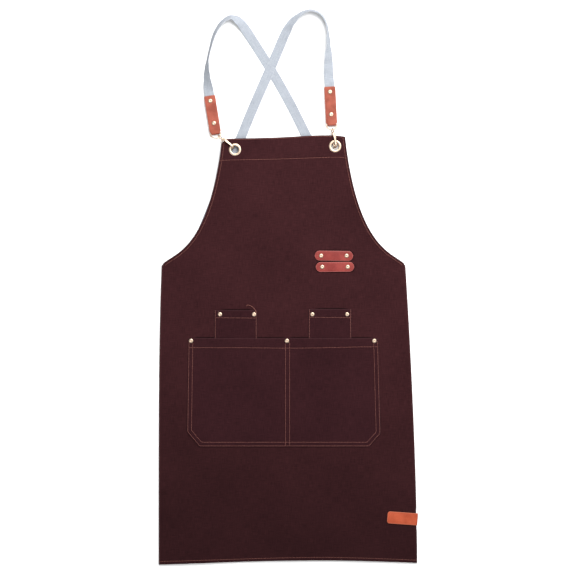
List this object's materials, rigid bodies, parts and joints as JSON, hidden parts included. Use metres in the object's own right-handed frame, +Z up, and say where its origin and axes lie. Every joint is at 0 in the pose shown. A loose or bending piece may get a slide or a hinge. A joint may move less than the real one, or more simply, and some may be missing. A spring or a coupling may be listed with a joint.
{
  "type": "butcher apron",
  "caption": "Laid-flat canvas bib apron with pockets, towel loops and crossed webbing shoulder straps that clip into bib grommets with swivel snap hooks.",
  "frame": {"origin": "middle of the apron's footprint, on the surface it lies on", "axes": "+X to the viewer's right of the apron's front, +Y from hem to bib top and straps, +Z up out of the front face"},
  "size_m": [0.5274, 1.1284, 0.0199],
  "materials": {
    "canvas": "maroon-brown cotton canvas, matt",
    "pocket_canvas": "maroon-brown cotton canvas, matt",
    "webbing": "pale blue-grey cotton webbing",
    "leather": "tan leather, semi-matt",
    "pale_gold": "polished pale gold plating",
    "spring_steel": "plain spring steel"
  },
  "bodies": {
    "apron": {"apron_panel": "canvas", "front_pocket": "pocket_canvas", "pen_pocket_left": "pocket_canvas", "pen_pocket_right": "pocket_canvas", "towel_loop_upper": "leather", "towel_loop_lower": "leather", "side_label": "leather", "leather_tab_left": "leather", "rivet_cap_tab_fold_left": "pale_gold", "rivet_post_tab_fold_left": "pale_gold", "rivet_cap_tab_top_left": "pale_gold", "rivet_post_tab_top_left": "pale_gold", "grommet_left": "pale_gold", "grommet_washer_left": "pale_gold", "leather_tab_right": "leather", "rivet_cap_tab_fold_right": "pale_gold", "rivet_post_tab_fold_right": "pale_gold", "rivet_cap_tab_top_right": "pale_gold", "rivet_post_tab_top_right": "pale_gold", "grommet_right": "pale_gold", "grommet_washer_right": "pale_gold", "strap_from_left_shoulder": "webbing", "strap_from_right_shoulder": "webbing", "rivet_cap_pocket_left": "pale_gold", "rivet_post_pocket_left": "pale_gold", "rivet_cap_pocket_middle": "pale_gold", "rivet_post_pocket_middle": "pale_gold", "rivet_cap_pocket_right": "pale_gold", "rivet_post_pocket_right": "pale_gold", "rivet_cap_pen_left_outer": "pale_gold", "rivet_post_pen_left_outer": "pale_gold", "rivet_cap_pen_left_inner": "pale_gold", "rivet_post_pen_left_inner": "pale_gold", "rivet_cap_pen_right_inner": "pale_gold", "rivet_post_pen_right_inner": "pale_gold", "rivet_cap_pen_right_outer": "pale_gold", "rivet_post_pen_right_outer": "pale_gold", "rivet_cap_loop_upper_inner": "pale_gold", "rivet_post_loop_upper_inner": "pale_gold", "rivet_cap_loop_upper_outer": "pale_gold", "rivet_post_loop_upper_outer": "pale_gold", "rivet_cap_loop_lower_inner": "pale_gold", "rivet_post_loop_lower_inner": "pale_gold", "rivet_cap_loop_lower_outer": "pale_gold", "rivet_post_loop_lower_outer": "pale_gold"},
    "d_ring_left": {"d_ring_left": "pale_gold"},
    "swivel_eye_left": {"swivel_eye_left": "pale_gold"},
    "snap_hook_left": {"snap_hook_left": "pale_gold", "gate_pin_left": "pale_gold", "gate_spring_left": "spring_steel"},
    "hook_gate_left": {"hook_gate_left": "pale_gold"},
    "d_ring_right": {"d_ring_right": "pale_gold"},
    "swivel_eye_right": {"swivel_eye_right": "pale_gold"},
    "snap_hook_right": {"snap_hook_right": "pale_gold", "gate_pin_right": "pale_gold", "gate_spring_right": "spring_steel"},
    "hook_gate_right": {"hook_gate_right": "pale_gold"}
  },
  "joints": [
    {"name": "d_ring_left_tilt", "type": "hinge", "parent": "apron", "child": "d_ring_left", "pos_m": [-0.14803, 0.31119, 0.0045], "axis": [-0.9874, -0.1582, 0], "range_deg": [-8, 7]},
    {"name": "swivel_eye_left_rock", "type": "hinge", "parent": "d_ring_left", "child": "swivel_eye_left", "pos_m": [-0.13988, 0.30336, 0.0096], "axis": [0.6428, 0.766, 0], "range_deg": [-8.5, 7.5]},
    {"name": "snap_hook_left_swivel", "type": "hinge", "parent": "swivel_eye_left", "child": "snap_hook_left", "pos_m": [-0.13988, 0.30336, 0.0096], "axis": [0.766, -0.6428, 0], "range_deg": [-8, 44]},
    {"name": "hook_gate_left_open", "type": "hinge", "parent": "snap_hook_left", "child": "hook_gate_left", "pos_m": [-0.13008, 0.29232, 0.00368], "axis": [-0.604, -0.7198, 0.342], "range_deg": [0, 10], "stiffness_Nm_per_rad": 0.01, "springref_deg": -17.19},
    {"name": "d_ring_right_tilt", "type": "hinge", "parent": "apron", "child": "d_ring_right", "pos_m": [0.08877, 0.32891, 0.0045], "axis": [-0.9987, -0.0506, 0], "range_deg": [-8, 8]},
    {"name": "swivel_eye_right_rock", "type": "hinge", "parent": "d_ring_right", "child": "swivel_eye_right", "pos_m": [0.09047, 0.31719, 0.0096], "axis": [0.9877, 0.1564, 0], "range_deg": [-11, 11]},
    {"name": "snap_hook_right_swivel", "type": "hinge", "parent": "swivel_eye_right", "child": "snap_hook_right", "pos_m": [0.09047, 0.31719, 0.0096], "axis": [0.1564, -0.9877, 0], "range_deg": [-18, 27]},
    {"name": "hook_gate_right_open", "type": "hinge", "parent": "snap_hook_right", "child": "hook_gate_right", "pos_m": [0.09062, 0.30244, 0.00368], "axis": [-0.9281, -0.147, 0.342], "range_deg": [0, 10], "stiffness_Nm_per_rad": 0.01, "springref_deg": -17.19}
  ],
  "couplings": [
    {"joint": "swivel_eye_left_rock", "follows": "d_ring_left_tilt", "ratio": 0.9996},
    {"joint": "swivel_eye_right_rock", "follows": "d_ring_right_tilt", "ratio": 1.3128}
  ]
}
